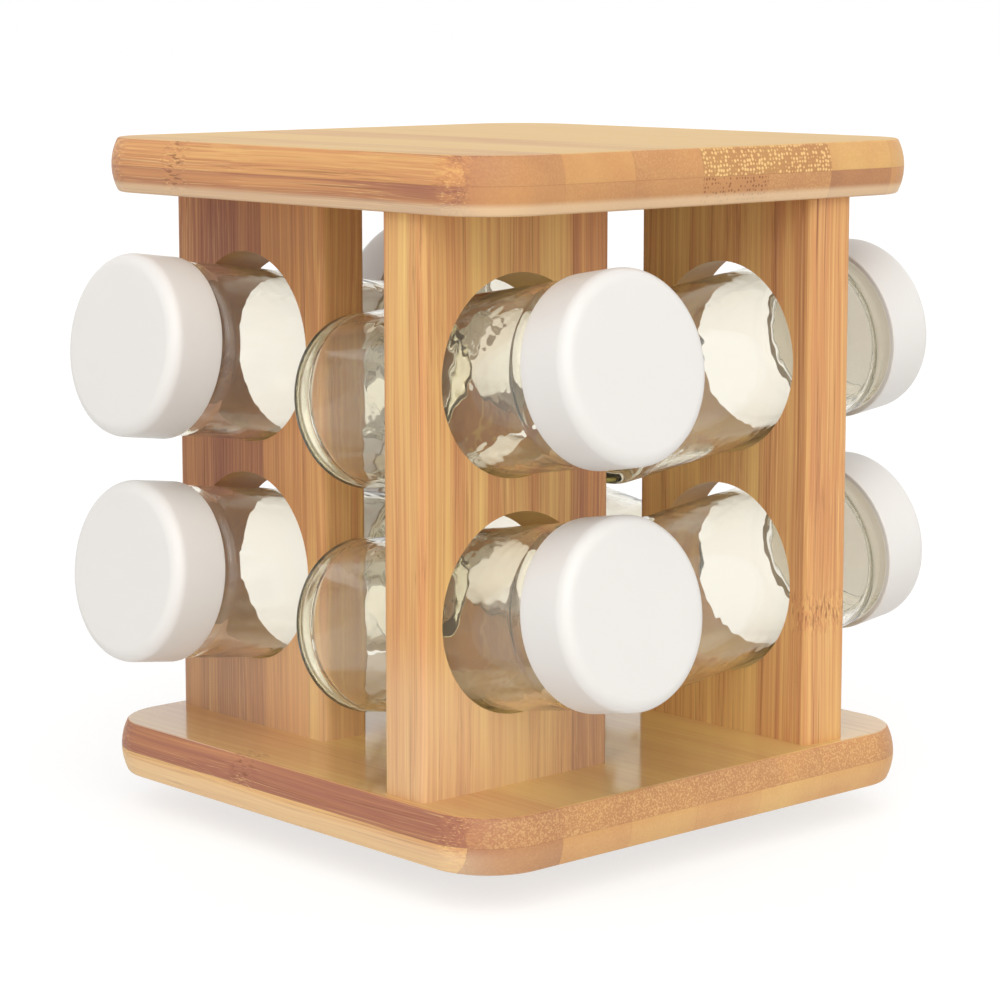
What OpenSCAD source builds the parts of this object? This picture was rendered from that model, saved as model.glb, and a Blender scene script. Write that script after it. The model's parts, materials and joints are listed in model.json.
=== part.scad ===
// Bamboo spice carousel: two square boards, four upright panels set round the axis like the
// vanes of a pinwheel, and eight glass jars that lie in leaning bores through the panels.
// It turns on a ball bearing of two pressed steel plates. Millimetres, +Z up. The origin is
// on the turning axis, on the surface that the carousel stands on.

/* [Boards] */
// Width and depth of the base board and the top board
board_w = 178; // [176:0.5:184]
// Thickness of each board
board_t = 16; // [15:0.5:20]
// Corner radius of the boards, seen from above
board_corner_r = 21; // [18:0.5:30]
// How far the middle of a board's edge stands out past its two arrises
edge_bulge = 2; // [1:0.25:3]
// Radius of the arrises, where a board's faces meet its edge
arris_r = 1.2; // [0.5:0.1:2.5]

/* [Panels] */
// Width of each upright panel
panel_w = 70; // [66:0.5:72]
// Height of each upright panel, from board to board
panel_h = 160; // [154:1:180]
// Thickness of each upright panel
panel_t = 17; // [14:0.5:20]
// Radius of the panels' upright edges
panel_edge_r = 2.5; // [1:0.25:4]
// Gap from the boards' edge to the panel's nearest upright edge
panel_inset = 5; // [4:0.25:8]
// Distance from the boards' edge to the middle of the panel's thickness
panel_setback = 38.25; // [34:0.25:40]

/* [Bores] */
// Distance between the upper bore and the lower bore of a panel
bore_spacing = 66; // [62:0.5:72]
// Lean of the bores, with the cap end of the jar raised, in degrees
bore_lean = 8.5; // [6:0.5:10]
// Play between a jar and its bore, on the radius
bore_play = 2.5; // [1.5:0.25:3]
// Gap under the jar where it lies in its bore
jar_bed_gap = 0.3; // [0.2:0.05:0.5]
// How far the right-hand jars rock back in their bores from the bores' own lean, in degrees
rock_right = 1.5; // [-2:0.1:2]
// The same for the front jars
rock_front = -1; // [-2:0.1:2]
// The same for the left-hand jars
rock_left = 0; // [-2:0.1:2]
// The same for the back jars
rock_back = -1.5; // [-2:0.1:2]

/* [Jars] */
// Diameter of a jar's body
jar_d = 51; // [47:0.5:52]
// Height of a glass jar, from its foot to its rim
jar_h = 114; // [108:0.5:120]
// Thickness of the jar's side wall
jar_wall = 2.4; // [1.8:0.1:3]
// Thickness of the jar's floor
jar_floor_t = 5; // [4:0.25:8]
// Depth of the hollow under the jar's floor
jar_push_up = 1.5; // [0.5:0.25:3]
// Radius of the jar's heel, where the side meets the foot
jar_heel_r = 3; // [2:0.25:6]
// Radius of the jar's shoulder
jar_shoulder_r = 3.5; // [2:0.25:5]
// Step from the jar's body in to its neck, on the radius
neck_step = 2.25; // [1.5:0.25:3]
// Height of the neck, from the shoulder to the rim
neck_h = 16; // [14:0.5:19]
// Thickness of the neck's wall
neck_wall = 2.6; // [2:0.1:4]
// Gap between a jar's foot and the edge of the panel that stops it
jar_stop_gap = 0.6; // [0.4:0.1:2]

/* [Caps] */
// Length of a cap, from its rim to its face
cap_len = 17.5; // [15:0.5:18.5]
// Thickness of the cap's skirt
cap_wall = 1.8; // [1.2:0.1:2.5]
// Thickness of the cap's face
cap_top_t = 2; // [1.5:0.1:3]
// Radius of the cap's outer arris
cap_edge_r = 2.5; // [1:0.25:4]
// Room for the screw thread between neck and skirt, on the radius
thread_room = 1.45; // [1:0.05:2]
// Thickness of the sealing liner inside the cap
liner_t = 1; // [0.5:0.1:1.5]
// Gap between the liner and the skirt, on the radius
liner_gap = 0.3; // [0.1:0.05:0.6]

/* [Bearing] */
// Width of the square bearing plates
plate_w = 100; // [94:1:120]
// Corner radius of the bearing plates
plate_corner_r = 6; // [3:1:10]
// Thickness of the sheet steel
plate_t = 1.2; // [1:0.1:1.5]
// Height over both bearing plates
bearing_h = 8; // [7.5:0.1:9]
// Gap between the upper plate's inner wall and the lower race's ring
race_gap = 0.6; // [0.3:0.1:1.5]
// Width of the ring that holds a race
race_w = 8; // [7:0.25:10]
// Height of a race's ring above its plate
race_h = 2; // [1.6:0.1:2.2]
// Steel left between the bottom of a race and the plate
race_skin = 0.33; // [0.2:0.01:0.6]
// Play between the balls and a race
ball_play = 0.07; // [0.02:0.01:0.1]
// Number of balls
ball_count = 24; // [16:1:30]
// Inner radius of the collar that keeps the plates together
collar_r = 22.4; // [20:0.2:24]
// Running gap round the collar and its flange
collar_play = 0.9; // [0.5:0.1:1]
// How far the flange of the collar reaches over the upper plate's lip
flange_reach = 3.4; // [3:0.1:4]
// Gap between the lip and the flange above it
flange_gap = 0.4; // [0.2:0.1:0.6]
// Width of the upper plate's inner wall, from the opening to the race ring
inner_wall = 1.5; // [1:0.1:2]

/* [Feet] */
// Diameter of the rubber feet
foot_d = 12; // [9:0.5:15]
// Height of the rubber feet
foot_h = 3; // [2:0.5:6]
// Radius of the feet's lower edge
foot_edge_r = 0.8; // [0.4:0.1:1.5]
// Distance from the edge of a bearing plate to its feet and its screws
plate_margin = 8; // [6.5:0.5:12]

/* [Fasteners] */
// Distance from a panel's upright edge to the nearest screw and dowel in its end
fastener_inset = 9; // [7:0.5:12]
// Diameter of the wood screws that hold the panels to the base board
screw_d = 4; // [3:0.5:5]
// Depth that a wood screw reaches into a panel
screw_bite = 24; // [18:1:26]
// Diameter of a wood screw's head
screw_head_d = 8; // [7:0.5:9]
// Diameter of the dowels between the panels and the top board
dowel_d = 8; // [6:0.5:8]
// Depth of a dowel in the top board
dowel_in_board = 12; // [8:0.5:13]
// Depth of a dowel in its panel
dowel_in_panel = 18; // [12:0.5:20]
// Room past the blind end of a dowel, a screw and a pilot hole
end_room = 1; // [0.5:0.25:2]
// Gap round a screw or a dowel in its hole, on the radius
fastener_gap = 0.05; // [0.02:0.01:0.1]
// Diameter of the pan head screws that hold the bearing
plate_screw_d = 3.5; // [3:0.25:4]
// Depth that a pan head screw reaches into the base board
plate_screw_bite = 11; // [8:0.5:13]
// Diameter of a pan head
pan_head_d = 7; // [6:0.25:8]
// Height of a pan head
pan_head_h = 2.2; // [1.8:0.1:2.4]
// Width of the slots of the cross drive in the screw heads
drive_w = 0.9; // [0.7:0.1:1.2]
// Depth of the cross drive
drive_depth = 1.2; // [0.8:0.1:1.4]
// Span of the cross drive, as a share of the screw head's diameter
drive_share = 0.6; // [0.4:0.05:0.7]

/* [Hidden] */
SIDES = ["right", "front", "left", "back"];
LEVELS = ["lower", "upper"];
JAR_NODES = [for (part = ["jar", "cap", "liner"], side = SIDES, level = LEVELS)
    str(part, "_", side, "_", level)];
$fn = 96;

// Heights of the boards and of what lies between them
base_z = foot_h + bearing_h;
panel_z = base_z + board_t;
top_z = panel_z + panel_h;

// Middle of the panel on the right, seen from above; the others are turned about the axis
panel_x = board_w / 2 - panel_setback;
panel_y = -(board_w / 2 - panel_inset - panel_w / 2);

// A bore, and the jar that lies on the bottom of it
jar_r = jar_d / 2;
bore_r = jar_r + bore_play;

// How far along a bore, from its middle, the lower end of its bed lies
bed_reach = (panel_t / 2 + bore_r * sin(bore_lean)) / cos(bore_lean);

// What a jar's lean, its drop below its bore's middle and the way to its foot are, by side
ROCK = [rock_right, rock_front, rock_left, rock_back];
function rock_of(side) = ROCK[search([side], SIDES)[0]];
function lean_of(side) = bore_lean + rock_of(side);
function drop_of(side) = bore_play - jar_bed_gap - bed_reach * sin(abs(rock_of(side)));

// The foot of each jar stops short of the upright edge of the next panel round
stop_x = board_w - panel_setback - panel_inset - panel_w - jar_stop_gap;
function foot_of(side) = jar_heel_r
    + (stop_x - jar_heel_r - (jar_r - jar_heel_r) * sin(lean_of(side))) / cos(lean_of(side));

// The neck, and the cap that screws on it
neck_r = jar_r - neck_step;
shoulder_h = jar_h - neck_h;
skirt_r = neck_r + thread_room;
cap_r = skirt_r + cap_wall;
cap_face_h = jar_h + liner_t + cap_top_t;
mouth_r = neck_r - neck_wall;

// The bearing: levels counted from the middle of the balls, the same above and below
ball_z = foot_h + bearing_h / 2;
plate_face = bearing_h / 2 - plate_t;
ball_r = plate_face - race_skin - ball_play;
lip_r = collar_r + plate_t + collar_play;
flange_r = collar_r + plate_t + flange_reach;
opening_r = flange_r + collar_play;
race_r = opening_r + inner_wall + race_gap + race_w / 2;
flange_top = plate_face - collar_play;
lip_top = flange_top - plate_t - flange_gap;
corner = plate_w / 2 - plate_margin;

// Length of a screw's tapered point, and the radius of its tip
screw_point = 3;
tip_r = 0.4;
pan_edge_r = 0.9;
dowel_chamfer = 0.8;
rim_r = 1.1;

// The hollow under a jar stops this far in from the jar's side
push_up_inset = 6;

BAMBOO = [0.80, 0.60, 0.36];
STEEL = [0.70, 0.71, 0.73];
GLASS = [0.80, 0.86, 0.80, 0.45];
WHITE_PLASTIC = [0.93, 0.92, 0.90];
RUBBER = [0.12, 0.12, 0.13];
LINER = [0.86, 0.85, 0.82];

// ---- Shared shapes ------------------------------------------------------------------

// Turns what is drawn for the right-hand side round to another side
module on_side(side) {
    step = search([side], SIDES)[0];
    rotate([0, 0, -90 * step]) children();
}

// Draws its children once for each of the two fasteners in every panel's end
module at_fasteners() {
    for (side = SIDES, end = [-1, 1])
        on_side(side)
            translate([panel_x, panel_y + end * (panel_w / 2 - fastener_inset), 0])
                children();
}

// Draws its children at the four corners of a bearing plate
module at_plate_corners() {
    for (x = [-1, 1], y = [-1, 1])
        translate([x * corner, y * corner, 0])
            children();
}

// A square with round corners, standing on its own plane
module rounded_square_prism(w, r, h) {
    inner = w - 2 * r;
    translate([-w / 2, -inner / 2, 0]) cube([w, inner, h]);
    translate([-inner / 2, -w / 2, 0]) cube([inner, w, h]);
    for (x = [-1, 1], y = [-1, 1])
        translate([x * inner / 2, y * inner / 2, 0])
            cylinder(r = r, h = h);
}

// Half of a board's cross section: flat faces and one bulging edge at the distance reach.
// A circle of radius arris_r touches the face and the bulge from inside at both arrises.
module board_section(reach) {
    half = board_t / 2;
    bulge_r = (pow(half, 2) + pow(edge_bulge, 2)) / (2 * edge_bulge);
    bulge_x = reach - bulge_r;
    out = sqrt(pow(bulge_r - arris_r, 2) - pow(half - arris_r, 2));
    square([bulge_x + out, board_t]);
    for (end = [-1, 1])
        translate([bulge_x + out, half + end * (half - arris_r)]) circle(r = arris_r);
    intersection() {
        translate([bulge_x, half]) circle(r = bulge_r);
        translate([0, half])
            polygon([[bulge_x, 0], [bulge_x + 2 * out, 2 * (half - arris_r)],
                [bulge_x + 2 * out, -2 * (half - arris_r)]]);
    }
}

// A square board with bulging edges and round corners
module board_blank() {
    side = board_w - 2 * board_corner_r;
    translate([-side / 2, -side / 2, 0]) cube([side, side, board_t]);
    for (turn = [0:3])
        rotate([0, 0, 90 * turn])
            translate([side / 2, side / 2, 0]) {
                rotate_extrude(angle = 90) board_section(board_corner_r);
                rotate([90, 0, 0]) linear_extrude(side) board_section(board_corner_r);
            }
}

// Puts something drawn along a jar's own axis, foot down at its origin, into its bore
module in_bore(side, level) {
    level_z = (level == "upper" ? 1 : -1) * bore_spacing / 2;
    on_side(side)
        translate([panel_x, panel_y, panel_z + panel_h / 2 + level_z])
            rotate([0, 90 - lean_of(side), 0])
                translate([drop_of(side), 0, -foot_of(side)])
                    children();
}

// A cross for a screwdriver, cut upwards from z = 0
module cross_drive(span) {
    for (turn = [0, 90])
        rotate([0, 0, turn])
            translate([-span / 2, -drive_w / 2, -end_room])
                cube([span, drive_w, end_room + drive_depth]);
}

// ---- Boards and panels --------------------------------------------------------------

module base_board() {
    color(BAMBOO)
        difference() {
            translate([0, 0, base_z]) board_blank();
            at_fasteners() screw_hole();
            at_plate_corners()
                translate([0, 0, base_z - end_room])
                    cylinder(d = plate_screw_d + 2 * fastener_gap,
                        h = plate_screw_bite + 2 * end_room);
        }
}

module top_board() {
    color(BAMBOO)
        difference() {
            translate([0, 0, top_z]) board_blank();
            at_fasteners()
                translate([0, 0, top_z - end_room])
                    cylinder(d = dowel_d + 2 * fastener_gap,
                        h = dowel_in_board + 2 * end_room);
        }
}

module panel(side) {
    color(BAMBOO)
        difference() {
            on_side(side)
                difference() {
                    translate([panel_x, panel_y, panel_z]) panel_blank();
                    for (level = [-1, 1])
                        translate([panel_x, panel_y, panel_z + panel_h / 2 + level * bore_spacing / 2])
                            rotate([0, 90 - bore_lean, 0])
                                cylinder(r = bore_r, h = panel_w, center = true);
                }
            at_fasteners() screw_hole();
            at_fasteners()
                translate([0, 0, top_z - dowel_in_panel])
                    cylinder(d = dowel_d + 2 * fastener_gap, h = dowel_in_panel + end_room);
        }
}

// An upright panel with its long edges rounded, about its own middle
module panel_blank() {
    r = panel_edge_r;
    translate([-panel_t / 2, -panel_w / 2 + r, 0]) cube([panel_t, panel_w - 2 * r, panel_h]);
    translate([-panel_t / 2 + r, -panel_w / 2, 0]) cube([panel_t - 2 * r, panel_w, panel_h]);
    for (x = [-1, 1], y = [-1, 1])
        translate([x * (panel_t / 2 - r), y * (panel_w / 2 - r), 0])
            cylinder(r = r, h = panel_h);
}

// ---- Fasteners of the frame ---------------------------------------------------------

// The outline of a wood screw, from its flush head up to its point, made larger by gap
module screw_body(gap, point_room) {
    head_r = screw_head_d / 2;
    shank_r = screw_d / 2;
    reach = board_t + screw_bite;
    cone_h = head_r - shank_r;
    cylinder(r1 = head_r + gap, r2 = shank_r + gap, h = cone_h);
    cylinder(r = shank_r + gap, h = reach - screw_point);
    translate([0, 0, reach - screw_point])
        cylinder(r1 = shank_r + gap, r2 = tip_r + gap, h = screw_point + point_room);
}

// The drilled and countersunk hole for a wood screw
module screw_hole() {
    translate([0, 0, base_z]) screw_body(fastener_gap, end_room);
    translate([0, 0, base_z - end_room])
        cylinder(r = screw_head_d / 2 + fastener_gap, h = end_room);
}

module base_screws() {
    color(STEEL)
        at_fasteners()
            translate([0, 0, base_z])
                difference() {
                    screw_body(0, 0);
                    cross_drive(drive_share * screw_head_d);
                }
}

module top_dowels() {
    r = dowel_d / 2;
    length = dowel_in_panel + dowel_in_board;
    color(BAMBOO)
        at_fasteners()
            translate([0, 0, top_z - dowel_in_panel]) {
                cylinder(r1 = r - dowel_chamfer, r2 = r, h = dowel_chamfer);
                translate([0, 0, dowel_chamfer]) cylinder(r = r, h = length - 2 * dowel_chamfer);
                translate([0, 0, length - dowel_chamfer])
                    cylinder(r1 = r, r2 = r - dowel_chamfer, h = dowel_chamfer);
            }
}

// ---- Bearing and feet ---------------------------------------------------------------

// A ring round the axis that carries a race, drawn upwards from its plate's inner face
module race_ring_section() {
    difference() {
        translate([race_r - race_w / 2, -plate_face]) square([race_w, race_h]);
        translate([race_r, 0]) circle(r = ball_r + ball_play);
    }
}

// A square plate with its opening and its corner holes, standing on its own plane
module plate_blank(opening, hole_d) {
    difference() {
        rounded_square_prism(plate_w, plate_corner_r, plate_t);
        translate([0, 0, -end_room]) cylinder(r = opening, h = plate_t + 2 * end_room);
        if (hole_d > 0)
            at_plate_corners()
                translate([0, 0, -end_room])
                    cylinder(d = hole_d, h = plate_t + 2 * end_room);
    }
}

module lower_plate() {
    color(STEEL)
        translate([0, 0, ball_z]) {
            translate([0, 0, -bearing_h / 2]) plate_blank(collar_r, 0);
            rotate_extrude() race_ring_section();
            rotate_extrude() {
                translate([collar_r, -bearing_h / 2])
                    square([plate_t, bearing_h / 2 + flange_top]);
                translate([collar_r, flange_top - plate_t])
                    square([flange_r - collar_r, plate_t]);
            }
        }
}

module upper_plate() {
    color(STEEL)
        translate([0, 0, ball_z]) {
            translate([0, 0, plate_face])
                plate_blank(opening_r, plate_screw_d + 2 * fastener_gap);
            mirror([0, 0, 1]) rotate_extrude() race_ring_section();
            rotate_extrude() {
                translate([opening_r, lip_top - plate_t])
                    square([inner_wall, bearing_h / 2 - lip_top + plate_t]);
                translate([lip_r, lip_top - plate_t])
                    square([opening_r + inner_wall - lip_r, plate_t]);
            }
        }
}

module bearing_balls() {
    color(STEEL)
        for (i = [0:ball_count - 1])
            rotate([0, 0, 360 * i / ball_count])
                translate([race_r, 0, ball_z])
                    sphere(r = ball_r);
}

module plate_screws() {
    head_z = base_z - plate_t;
    shank_r = plate_screw_d / 2;
    length = plate_t + plate_screw_bite - screw_point;
    color(STEEL)
        at_plate_corners()
            translate([0, 0, head_z]) {
                difference() {
                    translate([0, 0, -pan_head_h])
                        rotate_extrude()
                            round_disc_section(pan_head_d / 2, pan_head_h, pan_edge_r);
                    translate([0, 0, -pan_head_h]) cross_drive(drive_share * pan_head_d);
                }
                cylinder(r = shank_r, h = length);
                translate([0, 0, length]) cylinder(r1 = shank_r, r2 = tip_r, h = screw_point);
            }
}

// Half section of a disc whose lower edge is rounded
module round_disc_section(r, h, edge_r) {
    translate([0, edge_r]) square([r, h - edge_r]);
    square([r - edge_r, h]);
    translate([r - edge_r, edge_r]) circle(r = edge_r);
}

module rubber_feet() {
    color(RUBBER)
        at_plate_corners()
            rotate_extrude() round_disc_section(foot_d / 2, foot_h, foot_edge_r);
}

// ---- Jars ---------------------------------------------------------------------------

// Half section of the outside of a jar, foot at y = 0
module jar_outer_section() {
    translate([0, jar_heel_r])
        square([jar_r, shoulder_h - jar_heel_r - jar_shoulder_r]);
    square([jar_r - jar_heel_r, shoulder_h]);
    translate([jar_r - jar_heel_r, jar_heel_r]) circle(r = jar_heel_r);
    square([jar_r - jar_shoulder_r, shoulder_h]);
    translate([jar_r - jar_shoulder_r, shoulder_h - jar_shoulder_r])
        circle(r = jar_shoulder_r);
    square([neck_r, jar_h - rim_r]);
    square([neck_r - rim_r, jar_h]);
    translate([neck_r - rim_r, jar_h - rim_r]) circle(r = rim_r);
}

// Half section of the inside of a jar
module jar_inner_section() {
    r = jar_r - jar_wall;
    top = shoulder_h - jar_wall;
    heel = jar_heel_r;
    shoulder = jar_shoulder_r;
    translate([0, jar_floor_t + heel]) square([r, top - jar_floor_t - heel - shoulder]);
    translate([0, jar_floor_t]) square([r - heel, heel]);
    translate([r - heel, jar_floor_t + heel]) circle(r = heel);
    translate([0, top - 2 * shoulder]) square([r - shoulder, 2 * shoulder]);
    translate([r - shoulder, top - shoulder]) circle(r = shoulder);
    translate([0, top - shoulder]) square([mouth_r, jar_h - top + shoulder + end_room]);
}

// Half section of the shallow round hollow under the floor
module push_up_section() {
    span = jar_r - push_up_inset;
    r = (pow(span, 2) + pow(jar_push_up, 2)) / (2 * jar_push_up);
    intersection() {
        translate([0, -end_room]) square([span + end_room, jar_push_up + 2 * end_room]);
        translate([0, jar_push_up - r]) circle(r = r, $fn = 360);
    }
}

module jar(side, level) {
    color(GLASS)
        in_bore(side, level)
            rotate_extrude()
                difference() {
                    jar_outer_section();
                    jar_inner_section();
                    push_up_section();
                }
}

// Half section of a cap, rim down, with its face at cap_face_h
module cap_section() {
    low = cap_face_h - cap_len;
    difference() {
        union() {
            translate([0, low]) square([cap_r, cap_len - cap_edge_r]);
            translate([0, cap_face_h - cap_edge_r]) square([cap_r - cap_edge_r, cap_edge_r]);
            translate([cap_r - cap_edge_r, cap_face_h - cap_edge_r]) circle(r = cap_edge_r);
        }
        translate([0, low - end_room])
            square([skirt_r, cap_len - cap_top_t + end_room]);
    }
}

module cap(side, level) {
    color(WHITE_PLASTIC)
        in_bore(side, level)
            rotate_extrude() cap_section();
}

module liner(side, level) {
    color(LINER)
        in_bore(side, level)
            translate([0, 0, jar_h])
                cylinder(r = skirt_r - liner_gap, h = liner_t);
}

// ---- Nodes --------------------------------------------------------------------------

base_board();
top_board();
for (side = SIDES)
    panel(side);
base_screws();
top_dowels();
upper_plate();
plate_screws();
lower_plate();
bearing_balls();
rubber_feet();
for (side = SIDES, level = LEVELS) {
    jar(side, level);
    cap(side, level);
    liner(side, level);
}
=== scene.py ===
"""Looks of the bamboo spice carousel: lacquered bamboo, clear glass jars, white screw caps.

The carousel's boards, panels, bearing, screws and feet are the frame's own solids with new
finishes. The jars and caps are turned here with their screw threads, on the axes of the
frame's cap joints, and stand for the frame's plain ones. Everything is in metres.
"""

import json
import math
import random

import bpy
from mathutils import Matrix, Vector, noise


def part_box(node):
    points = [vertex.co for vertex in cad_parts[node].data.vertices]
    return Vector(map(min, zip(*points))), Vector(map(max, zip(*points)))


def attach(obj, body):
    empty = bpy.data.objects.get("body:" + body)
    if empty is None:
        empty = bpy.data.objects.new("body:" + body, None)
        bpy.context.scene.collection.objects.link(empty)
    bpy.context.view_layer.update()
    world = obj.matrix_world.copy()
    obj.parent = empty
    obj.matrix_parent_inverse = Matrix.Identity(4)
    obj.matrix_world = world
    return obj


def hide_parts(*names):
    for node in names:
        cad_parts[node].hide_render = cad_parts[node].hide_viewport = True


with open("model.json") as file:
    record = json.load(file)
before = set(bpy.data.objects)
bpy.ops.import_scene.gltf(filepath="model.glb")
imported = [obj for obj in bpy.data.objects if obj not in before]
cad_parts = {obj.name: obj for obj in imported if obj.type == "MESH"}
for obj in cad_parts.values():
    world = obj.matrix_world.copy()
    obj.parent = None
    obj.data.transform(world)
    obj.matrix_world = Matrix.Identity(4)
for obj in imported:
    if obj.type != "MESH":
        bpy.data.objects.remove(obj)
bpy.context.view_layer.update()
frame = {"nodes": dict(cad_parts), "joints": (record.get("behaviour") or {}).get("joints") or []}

MM = 0.001
SIDES = ("right", "front", "left", "back")
LEVELS = ("lower", "upper")

# Sizes of the turned pieces that their outlines don't give
GLASS_WALL = 2.4 * MM
GLASS_FLOOR = 5.0 * MM
PUSH_UP = 1.5 * MM
PUSH_UP_INSET = 6.0 * MM
HEEL_RADIUS = 3.0 * MM
SHOULDER_RADIUS = 3.5 * MM
NECK_STEP = 2.25 * MM
NECK_HEIGHT = 16.0 * MM
NECK_WALL = 2.6 * MM
RIM_RADIUS = 1.1 * MM
THREAD_LEAD = 4.2 * MM
THREAD_WIDTH = 1.9 * MM
THREAD_TURNS = 1.35
NECK_THREAD_HEIGHT = 1.0 * MM
CAP_THREAD_HEIGHT = 0.9 * MM
CAP_WALL = 1.8 * MM
CAP_FACE = 2.0 * MM
CAP_EDGE_RADIUS = 4.0 * MM
CAP_CORNER_RADIUS = 0.6 * MM
CAP_LIP_RADIUS = 0.35 * MM
NECK_THREAD_DROP = 2.2 * MM
CAP_THREAD_START = 3.0 * MM
THREAD_RUN_IN = 0.08  # in turns

# How finely the turned pieces are cut
SEGMENTS = 144
WALL_STEP = 2.0 * MM
INNER_WALL_STEP = 1.0 * MM
THREAD_STEP = 0.25 * MM
SAME_PLACE = 0.001 * MM

# How the glass wall swells and ripples inside: how far, and how many to the metre
SWELL = 0.12 * MM
SWELLS = 60
RIPPLE = 0.05 * MM
RIPPLES = 330


# ---- Shader building blocks ---------------------------------------------------------


def put(tree, kind, inputs=None, **settings):
    """Adds a shader node. An input is a value, or another node's output to link."""
    made = tree.nodes.new(kind)
    for name, value in settings.items():
        setattr(made, name, value)
    for name, value in (inputs or {}).items():
        if isinstance(value, bpy.types.NodeSocket):
            tree.links.new(value, made.inputs[name])
        else:
            made.inputs[name].default_value = value
    return made


def calc(tree, operation, a, b=0.0, c=0.0, clamp=False):
    """A Math node's result."""
    made = put(tree, "ShaderNodeMath", {0: a, 1: b, 2: c}, operation=operation, use_clamp=clamp)
    return made.outputs[0]


def fade(tree, value, low, high, to_low=0.0, to_high=1.0):
    """value from low to high becomes to_low to to_high, smoothly and without overshoot."""
    made = put(
        tree,
        "ShaderNodeMapRange",
        {"Value": value, "From Min": low, "From Max": high, "To Min": to_low, "To Max": to_high},
        interpolation_type="SMOOTHSTEP",
    )
    return made.outputs["Result"]


def blend_colour(tree, amount, first, second, kind="MIX"):
    """second over first, by amount."""
    inputs = {0: amount, 6: first, 7: second}
    made = put(tree, "ShaderNodeMix", data_type="RGBA", blend_type=kind)
    for number, value in inputs.items():
        if isinstance(value, bpy.types.NodeSocket):
            tree.links.new(value, made.inputs[number])
        else:
            made.inputs[number].default_value = value
    return made.outputs[2]


def stretched(tree, place, scale):
    """The place with each of its axes scaled by its own factor."""
    made = put(tree, "ShaderNodeVectorMath", {0: place, 1: scale}, operation="MULTIPLY")
    return made.outputs["Vector"]


def mottle(tree, place, scale, detail, roughness=0.5):
    """Soft noise. Three scales in a row stretch it along each axis by its own factor."""
    if isinstance(scale, tuple):
        place = stretched(tree, place, scale)
        scale = 1.0
    inputs = {"Vector": place, "Scale": scale, "Detail": detail, "Roughness": roughness}
    return put(tree, "ShaderNodeTexNoise", inputs).outputs


def shared_effect(name, inputs, outputs):
    """A new node group and its inside ends. inputs gives (name, kind, default) for each."""
    group = bpy.data.node_groups.new(name, "ShaderNodeTree")
    for label, kind, default in inputs:
        socket = group.interface.new_socket(label, in_out="INPUT", socket_type=kind)
        if default is not None:
            socket.default_value = default
    for label, kind in outputs:
        group.interface.new_socket(label, in_out="OUTPUT", socket_type=kind)
    given = group.nodes.new("NodeGroupInput").outputs
    out = group.nodes.new("NodeGroupOutput").inputs
    return group, given, out


def use_effect(tree, group, values):
    """Places a shared effect in a material with its own values."""
    return put(tree, "ShaderNodeGroup", values, node_tree=group).outputs


def new_material(name):
    """An empty material, its node tree and its surface shader."""
    material = bpy.data.materials.new(name)
    material.use_nodes = True
    tree = material.node_tree
    tree.nodes.clear()
    shader = tree.nodes.new("ShaderNodeBsdfPrincipled")
    output = tree.nodes.new("ShaderNodeOutputMaterial")
    tree.links.new(shader.outputs["BSDF"], output.inputs["Surface"])
    return material, tree, shader, output


def set_shader(tree, shader, **values):
    """Sets the surface shader's sockets. An underscore in a name stands for a space."""
    for name, value in values.items():
        socket = shader.inputs[name.replace("_", " ")]
        if isinstance(value, bpy.types.NodeSocket):
            tree.links.new(value, socket)
        else:
            socket.default_value = value


def relief(tree, height, distance, strength=1.0):
    """A bump of the given depth in metres."""
    made = put(
        tree, "ShaderNodeBump", {"Height": height, "Distance": distance, "Strength": strength}
    )
    return made.outputs["Normal"]


# ---- Bamboo -------------------------------------------------------------------------


class Glueing:
    """How one bamboo piece is glued up from strips.

    axes names the row axes across, through and along the strips. first is where the first
    strip starts, across, and width is how wide each strip is. tones holds one list for each
    ply, lowest first, with the tone of each strip from 0, pale gold, to 1, dark red-brown.
    dots says in the same way how plainly the vessels show on the cut end. knots holds the
    middle of each knot (across, through, along) and how far it reaches across and through.
    face says how much paler the wood is painted where it faces up or down, a board's flat
    face or the top and bottom of a bore in a panel: painted light, for sheen and for light that
    falls there. gloss is how much more lacquer shows there. The last mark is painted bounce
    light: how pale the lower end is painted on its sides and on its cut ends, standing in for
    light from the floor, and how far up that goes.
    """

    def __init__(self, axes, first, width, tones, dots=None, gloss=0.0, knots=(), **marks):
        self.axes = axes
        self.first = first
        self.width = width
        self.tones = tones
        self.dots = dots or [[0.1] * len(ply) for ply in tones]
        self.gloss = gloss
        self.knots = knots
        # painted light: paler where the wood faces up or down, and painted bounce light from the
        # floor on the lower end
        self.face = marks.get("face", 0.0)
        self.rim, self.rim_cut, self.rim_height = marks.get("rim", (0.26, 0.26, 50 * MM))


BOARD_START = -111.8 * MM
BOARD_STRIP = 26.0 * MM
PANEL_STRIP = 20.4 * MM

# face and the pale lower end in these entries are painted light, as Glueing says
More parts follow.
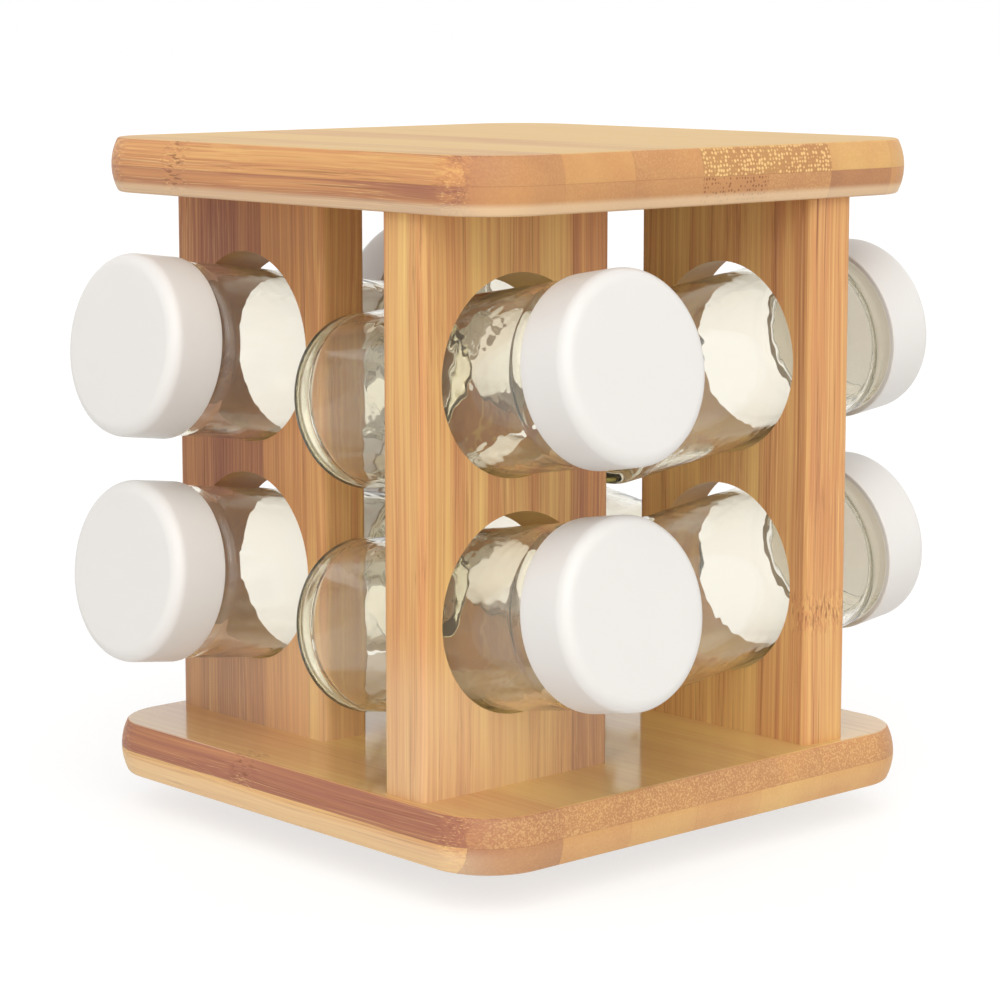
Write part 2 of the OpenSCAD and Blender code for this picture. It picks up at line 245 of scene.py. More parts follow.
GLUED = {
    "top_board": Glueing(
        "YZX",
        BOARD_START,
        BOARD_STRIP,
        tones=(
            (0.74, 0.64, 0.64, 0.66, 0.66, 0.64, 1.00, 0.66),
            (0.44, 0.66, 0.44, 0.68, 0.40, 0.38, 0.32, 0.38),
        ),
        dots=(
            (0.00, 0.05, 0.10, 0.10, 0.90, 0.20, 0.05, 0.05),
            (0.00, 0.10, 0.05, 0.15, 0.80, 0.70, 0.10, 0.05),
        ),
        gloss=0.02,
        knots=[((-90 * MM, 195 * MM, -44 * MM), (12 * MM, 12 * MM))],
        face=0.5,
        rim=(0.6, 0.6, 4 * MM),
    ),
    "base_board": Glueing(
        "YZX",
        BOARD_START,
        BOARD_STRIP,
        tones=(
            (0.26, 0.90, 0.42, 0.34, 0.38, 0.28, 0.32, 0.28),
            (1.00, 0.84, 0.74, 0.68, 0.68, 0.70, 0.66, 0.68),
        ),
        dots=(
            (0.05, 0.10, 0.10, 0.10, 0.10, 0.10, 0.10, 0.10),
            (0.10, 0.35, 0.40, 0.45, 0.40, 0.35, 0.40, 0.30),
        ),
        gloss=1.0,
        knots=[((-90 * MM, 24 * MM, -16 * MM), (10 * MM, 6 * MM))],
        face=0.62,
        rim=(0.5, 0.1, 9 * MM),
    ),
    "panel_right": Glueing(
        "YXZ", -89.8 * MM, PANEL_STRIP, tones=((0.40, 0.30, 0.30, 0.68),), face=0.6
    ),
    "panel_front": Glueing(
        "XYZ", -82.6 * MM, PANEL_STRIP, tones=((0.82, 0.88, 0.60, 0.44),), face=0.6
    ),
    "panel_left": Glueing(
        "YXZ", 8.8 * MM, PANEL_STRIP, tones=((0.60, 0.40, 0.65, 0.30),), face=0.6
    ),
    "panel_back": Glueing(
        "XYZ",
        2.8 * MM,
        PANEL_STRIP,
        tones=((0.34, 0.32, 0.30, 0.44),),
        knots=[((85 * MM, 51 * MM, 66 * MM), (8 * MM, 12 * MM))],
        face=0.6,
        rim=(0.0, 0.0, 50 * MM),
    ),
    "top_dowels": Glueing("XYZ", -100 * MM, 200 * MM, tones=((0.4,),)),
}

# Colours of the strips, from pale to dark, and of what lies in them
PALE_STRIP = (0.82, 0.55, 0.205, 1)
MIDDLE_STRIP = (0.62, 0.300, 0.126, 1)
DARK_STRIP = (0.36, 0.150, 0.095, 1)
DARK_FIBRE = (0.20, 0.075, 0.035, 1)
BRIGHT_FIBRE = (0.90, 0.64, 0.28, 1)
# painted bounce light: the pale colour painted on lower ends, standing in for light from the floor
PAINTED_BOUNCE_LIGHT = (0.82, 0.64, 0.42, 1)
CUT_END = (0.50, 0.28, 0.11, 1)


def bamboo_knot():
    """The shared effect of a knot: fibres that crumple over a few millimetres, and dark flecks."""
    group, given, out = shared_effect(
        "bamboo knot",
        [
            ("Place", "NodeSocketVector", None),
            ("Middle", "NodeSocketVector", None),
            ("Reach", "NodeSocketVector", None),
        ],
        [("Place", "NodeSocketVector"), ("Scar", "NodeSocketFloat")],
    )
    away = put(
        group, "ShaderNodeVectorMath", {0: given["Place"], 1: given["Middle"]}, operation="SUBTRACT"
    ).outputs["Vector"]
    off = put(group, "ShaderNodeSeparateXYZ", {"Vector": away}).outputs
    reach = put(group, "ShaderNodeSeparateXYZ", {"Vector": given["Reach"]}).outputs
    inside = fade(group, calc(group, "ABSOLUTE", off["Z"]), 1 * MM, 8 * MM, 1.0, 0.0)
    for axis in ("X", "Y"):
        share = calc(group, "DIVIDE", calc(group, "ABSOLUTE", off[axis]), reach[axis])
        inside = calc(group, "MULTIPLY", inside, fade(group, share, 0.8, 1.1, 1.0, 0.0))

    crumple = mottle(group, given["Place"], (300, 300, 260), 2.0)["Color"]
    centred = put(
        group, "ShaderNodeVectorMath", {0: crumple, 1: (0.5, 0.5, 0.5)}, operation="SUBTRACT"
    ).outputs["Vector"]
    size = calc(group, "MULTIPLY", inside, 3.2 * MM)
    shift = put(group, "ShaderNodeVectorMath", {0: centred, "Scale": size}, operation="SCALE")
    moved = put(
        group,
        "ShaderNodeVectorMath",
        {0: given["Place"], 1: shift.outputs["Vector"]},
        operation="ADD",
    )
    group.links.new(moved.outputs["Vector"], out["Place"])
    fleck = mottle(group, given["Place"], (1300, 1300, 260), 1.0)["Fac"]
    scar = calc(group, "MULTIPLY", inside, fade(group, fleck, 0.56, 0.66))
    group.links.new(scar, out["Scar"])
    return group


def bamboo_grain():
    """The shared effect of bamboo fibre.

    Its place has x across the strips, y through the plies and z along the grain, so that
    the vessels show as fine lines on the sides of a strip and as dots on its cut end. Cut is
    1 on the cut ends, and Dots says how plainly the vessels show there. Flat is 1 where the
    wood faces up or down, and the fibres show less. Seam is 1 on a glue line and Scar is 1
    in the flecks of a knot.
    """
    group, given, out = shared_effect(
        "bamboo grain",
        [
            ("Place", "NodeSocketVector", None),
            ("Tone", "NodeSocketFloat", 0.5),
            ("Cut", "NodeSocketFloat", 0.0),
            ("Dots", "NodeSocketFloat", 0.0),
            ("Flat", "NodeSocketFloat", 0.0),
            ("Seam", "NodeSocketFloat", 0.0),
            ("Scar", "NodeSocketFloat", 0.0),
        ],
        [
            ("Colour", "NodeSocketColor"),
            ("Roughness", "NodeSocketFloat"),
            ("Relief", "NodeSocketFloat"),
        ],
    )

    # The fibres wander a little
    wander = mottle(group, given["Place"], (30, 30, 14), 1.0)["Color"]
    shift = stretched(group, wander, (2.4 * MM, 2.4 * MM, 0))
    place = put(
        group, "ShaderNodeVectorMath", {0: given["Place"], 1: shift}, operation="ADD"
    ).outputs["Vector"]
    fine = mottle(group, place, (2600, 2600, 14), 3.0, 0.6)["Fac"]
    thread = mottle(group, place, (1100, 1100, 9), 2.0)["Fac"]
    band = mottle(group, place, (230, 230, 4), 3.0)["Fac"]
    drift = mottle(group, place, (45, 45, 9), 1.0)["Fac"]
    side = fade(group, given["Cut"], 0.0, 0.5, 1.0, 0.15)
    side = calc(group, "MULTIPLY", side, calc(group, "MULTIPLY_ADD", given["Flat"], -0.65, 1.0))
    plain = fade(group, given["Dots"], 0.5, 0.7)

    # Tone: the strip's own, drifting slowly, with bands and threads in it
    tone = calc(group, "ADD", given["Tone"], calc(group, "MULTIPLY_ADD", drift, 0.6, -0.3))
    streaks = calc(group, "MULTIPLY_ADD", band, 0.7, -0.35)
    streaks = calc(group, "ADD", streaks, calc(group, "MULTIPLY_ADD", thread, 0.8, -0.4))
    tone = calc(group, "ADD", tone, calc(group, "MULTIPLY", streaks, side))
    lower = calc(group, "MULTIPLY", tone, 2.0, clamp=True)
    upper = calc(group, "MULTIPLY_ADD", tone, 2.0, -1.0, clamp=True)
    colour = blend_colour(group, lower, PALE_STRIP, MIDDLE_STRIP)
    colour = blend_colour(group, upper, colour, DARK_STRIP)
    colour = blend_colour(group, calc(group, "MULTIPLY", given["Cut"], 0.35), colour, CUT_END)
    specks = mottle(group, given["Place"], (1900, 1900, 30), 1.0)["Fac"]
    specks = fade(group, specks, 0.44, 0.66)
    specks = calc(group, "MULTIPLY", specks, calc(group, "MULTIPLY", given["Cut"], given["Dots"]))
    specks = calc(group, "MULTIPLY", specks, calc(group, "SUBTRACT", 1.0, plain))
    colour = blend_colour(group, calc(group, "MULTIPLY", specks, 0.8), colour, BRIGHT_FIBRE)

    # Fibres along the grain: thin dark and bright lines that come in bundles
    dark = calc(group, "MULTIPLY", fade(group, fine, 0.54, 0.66), fade(group, band, 0.40, 0.62))
    dark = calc(group, "MULTIPLY", dark, calc(group, "MULTIPLY", side, 0.5))
    bright = calc(group, "MULTIPLY", fade(group, fine, 0.46, 0.34), fade(group, drift, 0.35, 0.6))
    bright = calc(group, "MULTIPLY", bright, calc(group, "MULTIPLY", side, 0.4))
    colour = blend_colour(group, dark, colour, DARK_FIBRE)
    colour = blend_colour(group, bright, colour, BRIGHT_FIBRE)

    # Vessels: fine tubes, which show as short dashes on the sides and as dots on a cut end
    cells = stretched(group, given["Place"], (840, 840, 11))
    vessels = put(
        group,
        "ShaderNodeTexVoronoi",
        {"Vector": cells, "Scale": 1.0, "Randomness": 0.45},
        feature="F1",
    ).outputs
    pick = put(group, "ShaderNodeSeparateColor", {"Color": vessels["Color"]}).outputs
    tube = fade(group, vessels["Distance"], 0.12, 0.30, 1.0, 0.0)
    dash = calc(group, "MULTIPLY", tube, fade(group, pick["Red"], 0.84, 0.92))
    dash = calc(group, "MULTIPLY", dash, calc(group, "MULTIPLY", side, 0.5))
    colour = blend_colour(group, dash, colour, DARK_FIBRE)
    ring = fade(group, vessels["Distance"], 0.28, 0.50)
    dots = calc(group, "MULTIPLY", given["Cut"], plain)
    dark_dots = fade(group, given["Tone"], 0.45, 0.6)
    gaps = calc(group, "MULTIPLY", calc(group, "SUBTRACT", 1.0, dark_dots), ring)
    spot = fade(group, vessels["Distance"], 0.20, 0.42, 1.0, 0.0)
    holes = calc(group, "MULTIPLY", dark_dots, spot)
    gaps = calc(group, "MULTIPLY", gaps, 0.3)
    holes = calc(group, "MULTIPLY", holes, 0.7)
    darkened = calc(group, "MULTIPLY", dots, calc(group, "ADD", gaps, holes))
    colour = blend_colour(group, darkened, colour, DARK_FIBRE)
    pith = calc(group, "MULTIPLY", dots, calc(group, "SUBTRACT", 1.0, dark_dots))
    pith = calc(group, "MULTIPLY", pith, calc(group, "SUBTRACT", 1.0, ring))
    colour = blend_colour(group, calc(group, "MULTIPLY", pith, 0.6), colour, BRIGHT_FIBRE)

    colour = blend_colour(group, calc(group, "MULTIPLY", given["Scar"], 0.6), colour, DARK_FIBRE)
    colour = blend_colour(group, calc(group, "MULTIPLY", given["Seam"], 0.2), colour, DARK_FIBRE)
    group.links.new(colour, out["Colour"])

    rough = calc(group, "MULTIPLY_ADD", thread, 0.2, 0.36)
    group.links.new(rough, out["Roughness"])
    height = calc(group, "SUBTRACT", calc(group, "MULTIPLY", thread, 0.5), dash)
    height = calc(group, "SUBTRACT", height, darkened)
    height = calc(group, "SUBTRACT", height, given["Seam"])
    group.links.new(calc(group, "SUBTRACT", height, given["Scar"]), out["Relief"])
    return group


def strip_values(tree, share, tones, dots):
    """The tone and dots of the strip that a point is in; share is 0 to 1 over the strips."""
    made = put(tree, "ShaderNodeValToRGB", {"Fac": share})
    ramp = made.color_ramp
    ramp.interpolation = "CONSTANT"
    ramp.elements.remove(ramp.elements[1])
    ramp.elements[0].position = 0.0
    for i, (tone, dot) in enumerate(zip(tones, dots)):
        stop = ramp.elements[0] if i == 0 else ramp.elements.new(i / len(tones))
        stop.color = (tone, dot, 0.0, 1.0)
    return made.outputs["Color"]


def joint_line(tree, count, width):
    """A thin line at each whole number of count, where one strip or ply meets the next."""
    beside = calc(tree, "ABSOLUTE", calc(tree, "SUBTRACT", calc(tree, "FRACT", count), 0.5))
    return fade(tree, beside, 0.5 - width, 0.5 - width / 3)


def bamboo(node, glued, grain, knot):
    """Lacquered bamboo for one of the frame's nodes."""
    low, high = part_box(node)
    material, tree, shader, _ = new_material("bamboo " + node.replace("_", " "))
    coordinates = put(tree, "ShaderNodeTexCoord").outputs
    where = put(tree, "ShaderNodeSeparateXYZ", {"Vector": coordinates["Object"]}).outputs
    facing = put(tree, "ShaderNodeSeparateXYZ", {"Vector": coordinates["Normal"]}).outputs
    across, through, along = (where[axis] for axis in glued.axes)
    place = put(tree, "ShaderNodeCombineXYZ", {"X": across, "Y": through, "Z": along}).outputs[0]
    cut = fade(tree, calc(tree, "ABSOLUTE", facing[glued.axes[2]]), 0.3, 0.97)

    count = calc(tree, "DIVIDE", calc(tree, "SUBTRACT", across, glued.first), glued.width)
    share = calc(tree, "DIVIDE", count, float(len(glued.tones[0])))
    values = strip_values(tree, share, glued.tones[0], glued.dots[0])
    seam = calc(tree, "MULTIPLY", joint_line(tree, count, 0.012), 0.4)
    plies = len(glued.tones)
    if plies > 1:
        thickness = (high.z - low.z) / plies
        ply = calc(tree, "DIVIDE", calc(tree, "SUBTRACT", through, low.z), thickness)
        upper = strip_values(tree, share, glued.tones[1], glued.dots[1])
        values = blend_colour(tree, calc(tree, "GREATER_THAN", ply, 1.0), values, upper)
        between = joint_line(tree, calc(tree, "ADD", ply, 1e-3), 0.02)
        seam = calc(tree, "MAXIMUM", seam, between)
    strip = put(tree, "ShaderNodeSeparateColor", {"Color": values}).outputs
    level = calc(tree, "ABSOLUTE", facing["Z"])
    flat = fade(tree, level, 0.8, 0.95, 0.0, 1.0 if glued.face else 0.0)
    # painted light: the tone is made paler where the wood faces up or down, for sheen and for light
    # on flat faces and in bores
    tone = calc(tree, "SUBTRACT", strip["Red"], calc(tree, "MULTIPLY", flat, glued.face))
    scar = 0.0
    for middle, reach in glued.knots:
        made = use_effect(tree, knot, {"Place": place, "Middle": middle, "Reach": (*reach, 0)})
        place = made["Place"]
        scar = made["Scar"]
    made = use_effect(
        tree,
        grain,
        {
            "Place": place,
            "Tone": tone,
            "Cut": cut,
            "Dots": strip["Green"],
            "Flat": flat,
            "Seam": seam,
            "Scar": scar,
        },
    )
    colour = made["Colour"]
    # painted bounce light: the lower end is painted paler, standing in for light from the floor
    if glued.rim:
        start = low.z + glued.rim_height / 2
        painted_bounce_mask = fade(tree, where["Z"], start, low.z + glued.rim_height, 1.0, 0.0)
        most = calc(tree, "MULTIPLY_ADD", cut, glued.rim_cut - glued.rim, glued.rim)
        painted_bounce_mask = calc(tree, "MULTIPLY", painted_bounce_mask, most)
        painted_bounce_mask = calc(tree, "MULTIPLY", painted_bounce_mask, calc(tree, "SUBTRACT", 1.0, flat))
        colour = blend_colour(tree, painted_bounce_mask, colour, PAINTED_BOUNCE_LIGHT)
    set_shader(
        tree,
        shader,
        Base_Color=colour,
        Roughness=made["Roughness"],
        Specular_IOR_Level=0.12,
        Coat_Weight=calc(tree, "MULTIPLY_ADD", flat, glued.gloss, 0.04),
        Coat_Roughness=0.12,
        Coat_IOR=1.5,
        Normal=relief(tree, made["Relief"], 0.06 * MM, 0.5),
    )
    return material


# ---- Other finishes -----------------------------------------------------------------

# Colour of the painted glow on the caps' insides and on the liners, standing in for light that
# comes through the thin plastic
PAINTED_GLOW_COLOUR = (1.0, 0.93, 0.80, 1)


def clear_glass():
    """Pressed soda glass, a little olive where it is thick. Lamps shine through it.

    It bends light less than real soda glass (1.52) does, for fewer dark rims where light
    would be trapped in the wall.
    """
    material, tree, shader, output = new_material("clear jar glass")
    set_shader(
        tree,
        shader,
        Base_Color=(0.99, 0.975, 0.945, 1),
        Roughness=0.0,
        IOR=1.34,
        Transmission_Weight=0.97,
    )
    lamps = put(tree, "ShaderNodeLightPath").outputs["Is Shadow Ray"]
    clear = put(tree, "ShaderNodeBsdfTransparent", {"Color": (0.97, 0.97, 0.95, 1)})
    mix = put(
        tree, "ShaderNodeMixShader", {0: lamps, 1: shader.outputs[0], 2: clear.outputs[0]}
    )
    tree.links.new(mix.outputs[0], output.inputs["Surface"])
    depth = put(
        tree, "ShaderNodeVolumeAbsorption", {"Color": (0.72, 0.66, 0.12, 1), "Density": 20.0}
    )
    tree.links.new(depth.outputs["Volume"], output.inputs["Volume"])
    return material


def white_plastic(name, glow):
    """Moulded plastic of the caps: satin, faintly mottled. The glow is painted light, an emission
    standing in for light that comes through.
    """
    material, tree, shader, _ = new_material(name)
    where = put(tree, "ShaderNodeTexCoord").outputs["Object"]
    cloud = mottle(tree, where, 60.0, 2.0)["Fac"]
    skin = mottle(tree, where, 2600.0, 1.0)["Fac"]
    set_shader(
        tree,
        shader,
        Base_Color=blend_colour(tree, cloud, (0.71, 0.695, 0.675, 1), (0.73, 0.715, 0.695, 1)),
        Roughness=calc(tree, "MULTIPLY_ADD", cloud, 0.1, 0.34),
        IOR=1.46,
        # painted glow: an emission that stands in for light coming through the plastic
        Emission_Color=PAINTED_GLOW_COLOUR,
        Emission_Strength=glow,
        Normal=relief(tree, skin, 0.01 * MM, 0.4),
    )
    return material


def liner_foam():
    """The foamed wad inside a cap, with a painted glow standing in for light coming through the
    cap.
    """
    material, tree, shader, _ = new_material("liner foam")
    where = put(tree, "ShaderNodeTexCoord").outputs["Object"]
    cells = put(
        tree, "ShaderNodeTexVoronoi", {"Vector": where, "Scale": 2200.0}, feature="F1"
    ).outputs["Distance"]
    set_shader(
        tree,
        shader,
        Base_Color=blend_colour(tree, cells, (0.60, 0.58, 0.54, 1), (0.70, 0.68, 0.64, 1)),
        Roughness=0.7,
        # painted glow: an emission that stands in for light coming through the cap
        Emission_Color=PAINTED_GLOW_COLOUR,
        Emission_Strength=0.3,
        Normal=relief(tree, cells, 0.06 * MM, 0.6),
    )
    return material


def zinc_steel():
    """Bright zinc plate with a brushed, faintly blotched skin."""
    material, tree, shader, _ = new_material("zinc plated steel")
    where = put(tree, "ShaderNodeTexCoord").outputs["Object"]
    spangle = mottle(tree, where, 140.0, 3.0)["Fac"]
    brushed = mottle(tree, where, (60, 2400, 2400), 2.0)["Fac"]
    set_shader(
        tree,
        shader,
        Base_Color=blend_colour(tree, spangle, (0.42, 0.43, 0.45, 1), (0.56, 0.57, 0.59, 1)),
        Metallic=1.0,
        Roughness=calc(tree, "MULTIPLY_ADD", spangle, 0.2, 0.22),
        Normal=relief(tree, brushed, 0.01 * MM, 0.5),
    )
    return material


def black_rubber():
    """Moulded rubber of the feet."""
    material, tree, shader, _ = new_material("black foot rubber")
    where = put(tree, "ShaderNodeTexCoord").outputs["Object"]
    grit = mottle(tree, where, 1800.0, 2.0)["Fac"]
    set_shader(
        tree,
        shader,
        Base_Color=blend_colour(tree, grit, (0.018, 0.018, 0.019, 1), (0.04, 0.04, 0.042, 1)),
        Roughness=calc(tree, "MULTIPLY_ADD", grit, 0.2, 0.55),
        Normal=relief(tree, grit, 0.04 * MM, 0.5),
    )
    return material


# ---- Turned pieces ------------------------------------------------------------------


def arc(centre, radius, start, end, steps):
    """Points of an arc in the (radius, height) plane. Angles are in degrees."""
    points = []
    for i in range(steps + 1):
        a = math.radians(start + (end - start) * i / steps)
        points.append((centre[0] + radius * math.cos(a), centre[1] + radius * math.sin(a)))
    return points


def rise(radius, low, high, step):
    """Points up or down a straight wall, no further apart than step."""
    count = max(1, math.ceil(abs(high - low) / step))
    return [(radius, low + (high - low) * i / count) for i in range(count + 1)]


def lathe(name, profile, push):
    """A closed solid turned from a profile that starts and ends on the axis.

    push(radius, height, angle) gives how far a point is moved outwards.
    """
    clean = [profile[0]]
    for point in profile[1:]:
        if math.dist(point, clean[-1]) > 1e-7:
            clean.append(point)
    rings = clean[1:-1]
    verts = [(0, 0, clean[0][1])]
    for radius, height in rings:
        for i in range(SEGMENTS):
            angle = 2 * math.pi * i / SEGMENTS
            r = radius + push(radius, height, angle)
            verts.append((r * math.cos(angle), r * math.sin(angle), height))
    verts.append((0, 0, clean[-1][1]))
    last = len(verts) - 1
    faces = []
    for i in range(SEGMENTS):
        j = (i + 1) % SEGMENTS
        faces.append((0, 1 + j, 1 + i))
        for k in range(len(rings) - 1):
            a = 1 + k * SEGMENTS
            b = a + SEGMENTS
            faces.append((a + i, a + j, b + j, b + i))
        top = 1 + (len(rings) - 1) * SEGMENTS
        faces.append((top + i, top + j, last))
    mesh = bpy.data.meshes.new(name)
    mesh.from_pydata(verts, [], faces)
    mesh.validate()
    mesh.shade_smooth()
    return mesh


def thread_height(height, angle, low, crest):
    """Height of a screw thread's ridge at a place on the neck or in the skirt."""
    best = 0.0
    for lap in range(-1, math.ceil(THREAD_TURNS) + 1):
        along = angle / (2 * math.pi) + lap
        if not 0.0 <= along <= THREAD_TURNS:
            continue
        off = abs(height - low - along * THREAD_LEAD) / (THREAD_WIDTH / 2)
        if off < 1.0:
            ends = min(1.0, along / THREAD_RUN_IN, (THREAD_TURNS - along) / THREAD_RUN_IN)
            best = max(best, crest * ends * (0.5 + 0.5 * math.cos(math.pi * off)))
    return best


class JarPlace:
    """Where a jar lies: its axis, its foot, and its sizes as the frame's solids have them."""

    def __init__(self, name):
        turn = joint_named(name + "_cap_turn")
        self.axis = Vector(turn["axis"]).normalized()
        self.point = Vector(turn["pos_m"])
        self.foot, self.height, self.radius = self.measure("jar_" + name)
        low, self.cap_length, self.cap_radius = self.measure("cap_" + name)
        self.cap_low = (low - self.foot).dot(self.axis)

    def measure(self, node):
        """The low end, length and radius of a node along the jar's axis."""
        spans = []
        radii = []
        for vertex in frame["nodes"][node].data.vertices:
            to = vertex.co - self.point
            along = to.dot(self.axis)
            spans.append(along)
            radii.append((to - self.axis * along).length)
        low, high = min(spans), max(spans)
        return self.point + self.axis * low, high - low, max(radii)

    def matrix(self, turn):
        """Stands a piece turned about Z on the jar's foot and axis, turned by an angle."""
        tilt = self.axis.to_track_quat("Z", "Y").to_matrix().to_4x4()
        return Matrix.Translation(self.foot) @ tilt @ Matrix.Rotation(turn, 4, "Z")


def joint_named(name):
    """The record's own entry for a joint."""
    return next(joint for joint in frame["joints"] if joint["name"] == name)


def jar_mesh(place):
    """A glass jar: thick foot, straight body, short shoulder and threaded neck."""
    r = place.radius
    top = place.height
    shoulder = top - NECK_HEIGHT
    neck = r - NECK_STEP
    mouth = neck - NECK_WALL
    inner = r - GLASS_WALL
    ceiling = shoulder - GLASS_WALL
    span = r - PUSH_UP_INSET
    sphere = (span ** 2 + PUSH_UP ** 2) / (2 * PUSH_UP)
    half = math.degrees(math.asin(span / sphere))
    hollow = arc((0, PUSH_UP - sphere), sphere, 90, 90 - half, 12)
    outer = (
        hollow
        + arc((r - HEEL_RADIUS, HEEL_RADIUS), HEEL_RADIUS, -90, 0, 14)
        + rise(r, HEEL_RADIUS, shoulder - SHOULDER_RADIUS, WALL_STEP)
        + arc((r - SHOULDER_RADIUS, shoulder - SHOULDER_RADIUS), SHOULDER_RADIUS, 0, 90, 10)
        + rise(neck, shoulder, top - RIM_RADIUS, THREAD_STEP)
        + arc((neck - RIM_RADIUS, top - RIM_RADIUS), RIM_RADIUS, 0, 90, 6)
    )
    inside = (
        arc((mouth + RIM_RADIUS, top - RIM_RADIUS), RIM_RADIUS, 90, 180, 6)
        + rise(mouth, top - RIM_RADIUS, ceiling, WALL_STEP)
        + arc((inner - SHOULDER_RADIUS, ceiling - SHOULDER_RADIUS), SHOULDER_RADIUS, 70, 0, 8)
        + rise(inner, ceiling - SHOULDER_RADIUS, GLASS_FLOOR + HEEL_RADIUS, INNER_WALL_STEP)
        + arc((inner - HEEL_RADIUS, GLASS_FLOOR + HEEL_RADIUS), HEEL_RADIUS, 0, -90, 12)
        + [(inner * 0.5, GLASS_FLOOR + 0.3 * MM), (0, GLASS_FLOOR + 0.5 * MM)]
    )
    low = top - RIM_RADIUS - THREAD_LEAD * THREAD_TURNS - NECK_THREAD_DROP

    def push(radius, height, angle):
        if abs(radius - neck) < SAME_PLACE:
            return thread_height(height, angle, low, NECK_THREAD_HEIGHT)
        if abs(radius - inner) < SAME_PLACE and height > GLASS_FLOOR + HEEL_RADIUS:
            at = Vector((inner * math.cos(angle), inner * math.sin(angle), height))
            return SWELL * noise.noise(at * SWELLS) + RIPPLE * noise.noise(at * RIPPLES)
        return 0.0

    return lathe("jar", outer + inside, push)


def cap_mesh(place):
    """A screw cap: plain skirt, rounded arris, flat face, and its thread inside.

    Its second material, with a painted glow, is for the faces inside.
    """
    r = place.cap_radius
    low = place.cap_low
    high = low + place.cap_length
    skirt = r - CAP_WALL
    under = high - CAP_FACE
    edge = CAP_EDGE_RADIUS
    corner = CAP_CORNER_RADIUS
    lip = CAP_LIP_RADIUS
    profile = (
        [(0, under)]
        + [(skirt * 0.5, under)]
        + arc((skirt - corner, under - corner), corner, 90, 0, 4)
        + rise(skirt, under - corner, low + lip, THREAD_STEP)
        + arc((skirt + lip, low + lip), lip, 180, 270, 4)
        + arc((r - lip, low + lip), lip, 270, 360, 4)
        + rise(r, low + lip, high - edge, WALL_STEP)
        + arc((r - edge, high - edge), edge, 0, 90, 14)
        + [(r * 0.6, high), (r * 0.3, high), (0, high)]
    )
    start = low + CAP_THREAD_START

    def push(radius, height, angle):
        if abs(radius - skirt) < SAME_PLACE:
            return -thread_height(height, angle, start, CAP_THREAD_HEIGHT)
        return 0.0

    mesh = lathe("cap", profile, push)
    for face in mesh.polygons:
        out = math.hypot(face.center.x, face.center.y)
        if face.center.z <= under + SAME_PLACE and out < skirt + lip:
            face.material_index = 1
    return mesh


def place_piece(name, mesh, materials, matrix, body, node):
    """Puts a turned piece in its place and lets it stand for the frame's plain one."""
    piece = bpy.data.objects.new(name, mesh)
    bpy.context.scene.collection.objects.link(piece)
    if not mesh.materials:
        for material in materials:
            mesh.materials.append(material)
    piece.matrix_world = matrix
    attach(piece, body)
    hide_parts(node)


def jars_and_caps(glass, plastic, plastic_inside):
    """The eight jars and their caps, each turned round its axis by its own angle."""
    pick = random.Random(8)
    first = JarPlace(f"{SIDES[0]}_{LEVELS[0]}")
    jar_shape = jar_mesh(first)
    cap_shape = cap_mesh(first)
    for side in SIDES:
        for level in LEVELS:
            name = f"{side}_{level}"
            matrix = JarPlace(name).matrix(pick.uniform(0, 2 * math.pi))
            place_piece(
                "glass_jar_" + name,
                jar_shape,
                (glass,),
                matrix,
                name + "_jar",
                "jar_" + name,
            )
            place_piece(
                "screw_cap_" + name,
                cap_shape,
                (plastic, plastic_inside),
                matrix,
                name + "_cap",
                "cap_" + name,
            )


# ---- Finishes on the frame's own pieces ---------------------------------------------


def finish_node(node, material):
    """Gives one of the frame's nodes its finish."""
    piece = frame["nodes"][node]
    piece.data.materials.clear()
    piece.data.materials.append(material)


def finish_frame(steel, rubber, foam):
    """Bamboo on the boards and panels, and the finishes of the small parts."""
    grain = bamboo_grain()
    knot = bamboo_knot()
    for node, glued in GLUED.items():
        finish_node(node, bamboo(node, glued, grain, knot))
    for node in ("upper_plate", "lower_plate", "plate_screws", "base_screws", "bearing_balls"):
        finish_node(node, steel)
    finish_node("rubber_feet", rubber)
    for side in SIDES:
        for level in LEVELS:
            finish_node(f"liner_{side}_{level}", foam)


# ---- Floor, light and camera --------------------------------------------------------

FLOOR_REACH = 12.0
LAMP_COLOUR = (1.0, 0.985, 0.945)
LAMP_SPREAD = 60.0  # in degrees


def seen_directly(tree):
    """1 for what the camera sees straight, in a mirror or through glass, and 0 for light."""
    path = put(tree, "ShaderNodeLightPath").outputs
    seen = calc(tree, "MAXIMUM", path["Is Camera Ray"], path["Is Transmission Ray"])
    return calc(tree, "MAXIMUM", seen, path["Is Glossy Ray"])


def pale_floor():
    """A white floor that keeps a faint shadow."""
    material, tree, shader, output = new_material("pale floor")
    where = put(tree, "ShaderNodeTexCoord").outputs["Object"]
    cloud = mottle(tree, where, 3.0, 2.0)["Fac"]
    set_shader(
        tree,
        shader,
        Base_Color=blend_colour(tree, cloud, (0.90, 0.90, 0.89, 1), (0.92, 0.92, 0.91, 1)),
        Roughness=0.6,
        Specular_IOR_Level=0.2,
    )
    white = put(tree, "ShaderNodeEmission", {"Color": (1, 1, 1, 1), "Strength": 1.15})
    share = calc(tree, "MULTIPLY", seen_directly(tree), 0.6)
    mix = put(
        tree, "ShaderNodeMixShader", {0: share, 1: shader.outputs[0], 2: white.outputs[0]}
    )
    tree.links.new(mix.outputs[0], output.inputs["Surface"])
    return material


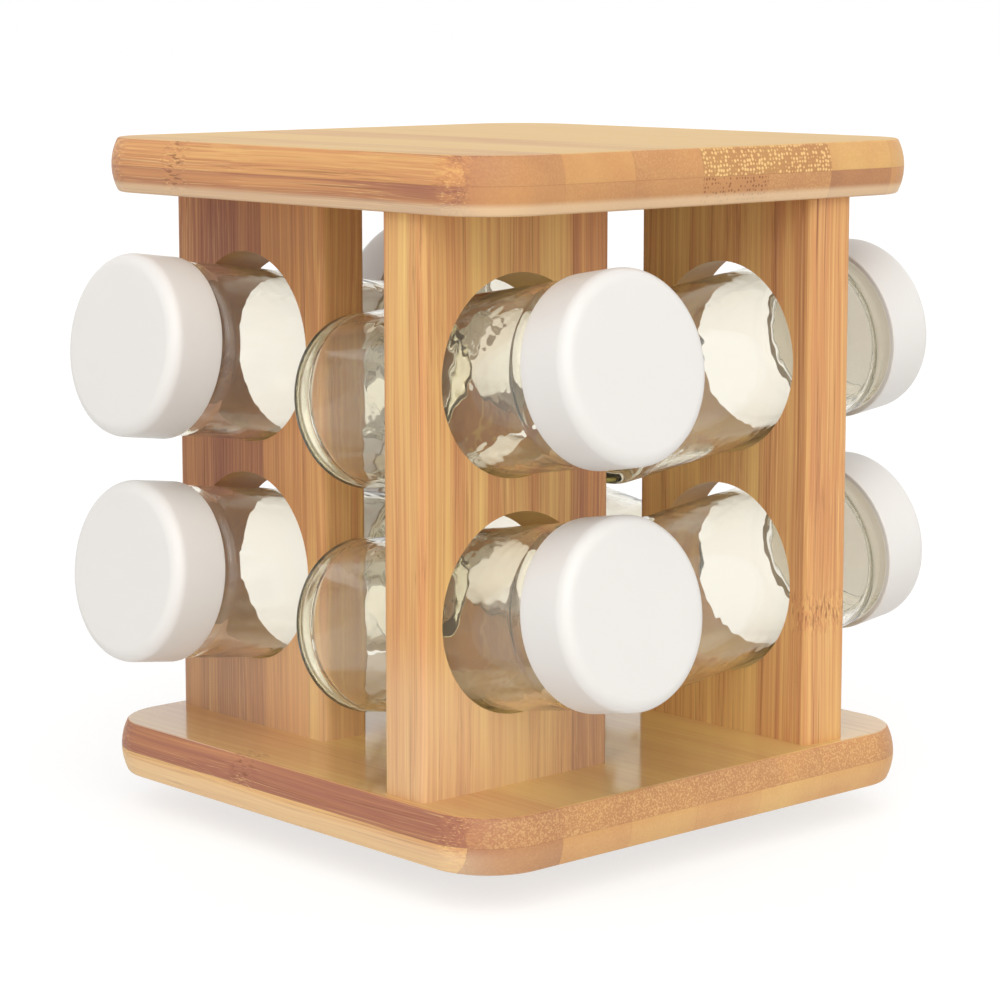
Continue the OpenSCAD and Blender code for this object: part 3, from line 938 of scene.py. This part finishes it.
def floor_and_light():
    """A pale floor, a white surround and soft studio light."""
    reach = FLOOR_REACH
    mesh = bpy.data.meshes.new("floor")
    mesh.from_pydata(
        [(-reach, -reach, 0), (reach, -reach, 0), (reach, reach, 0), (-reach, reach, 0)],
        [],
        [(0, 1, 2, 3)],
    )
    mesh.materials.append(pale_floor())
    floor = bpy.data.objects.new("floor", mesh)
    bpy.context.scene.collection.objects.link(floor)

    world = bpy.data.worlds.new("white surround")
    world.use_nodes = True
    tree = world.node_tree
    tree.nodes.clear()
    light = put(tree, "ShaderNodeBackground", {"Color": (1.0, 0.985, 1.0, 1), "Strength": 0.50})
    seen = put(tree, "ShaderNodeBackground", {"Color": (1, 1, 1, 1), "Strength": 1.0})
    mix = put(
        tree,
        "ShaderNodeMixShader",
        {0: seen_directly(tree), 1: light.outputs[0], 2: seen.outputs[0]},
    )
    out = put(tree, "ShaderNodeOutputWorld")
    tree.links.new(mix.outputs[0], out.inputs["Surface"])
    bpy.context.scene.world = world

    for name, towards, power in (
        ("key", (0.80, -0.58, 0.22), 1.08),
        ("fill", (0.49, -0.42, 0.77), 1.54),
        ("left back", (-0.90, -0.15, 0.35), 0.26),
        ("right back", (0.15, 0.90, 0.35), 0.26),
    ):
        lamp = bpy.data.lights.new(name, "SUN")
        lamp.energy = power
        lamp.color = LAMP_COLOUR
        lamp.angle = math.radians(LAMP_SPREAD)
        holder = bpy.data.objects.new(name, lamp)
        bpy.context.scene.collection.objects.link(holder)
        holder.rotation_euler = Vector(towards).to_track_quat("Z", "Y").to_euler()


def look():
    """The camera, a little above the top of the base board and well back."""
    azimuth, elevation, distance = math.radians(47.84), math.radians(8.34), 0.9235
    base_low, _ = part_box("base_board")
    target = Vector((-0.0023, -0.0002, base_low.z + 0.0957))
    back = Vector(
        (
            math.sin(azimuth) * math.cos(elevation),
            -math.cos(azimuth) * math.cos(elevation),
            math.sin(elevation),
        )
    )
    camera = bpy.data.objects.new("camera", bpy.data.cameras.new("camera"))
    bpy.context.scene.collection.objects.link(camera)
    camera.location = target + back * distance
    camera.rotation_euler = (-back).to_track_quat("-Z", "Y").to_euler()
    camera.data.sensor_width = 36.0
    camera.data.lens = 110.7
    camera.data.shift_y = -0.041
    bpy.context.scene.camera = camera


# ---- Putting it together ------------------------------------------------------------

look()
finish_frame(zinc_steel(), black_rubber(), liner_foam())
jars_and_caps(
    clear_glass(),
    white_plastic("white cap plastic", 0.0),
    # the caps' inside faces get a painted glow, standing in for light that comes through
    white_plastic("white cap plastic with painted glow", 0.3),
)
floor_and_light()
bpy.context.scene.view_settings.view_transform = "Standard"
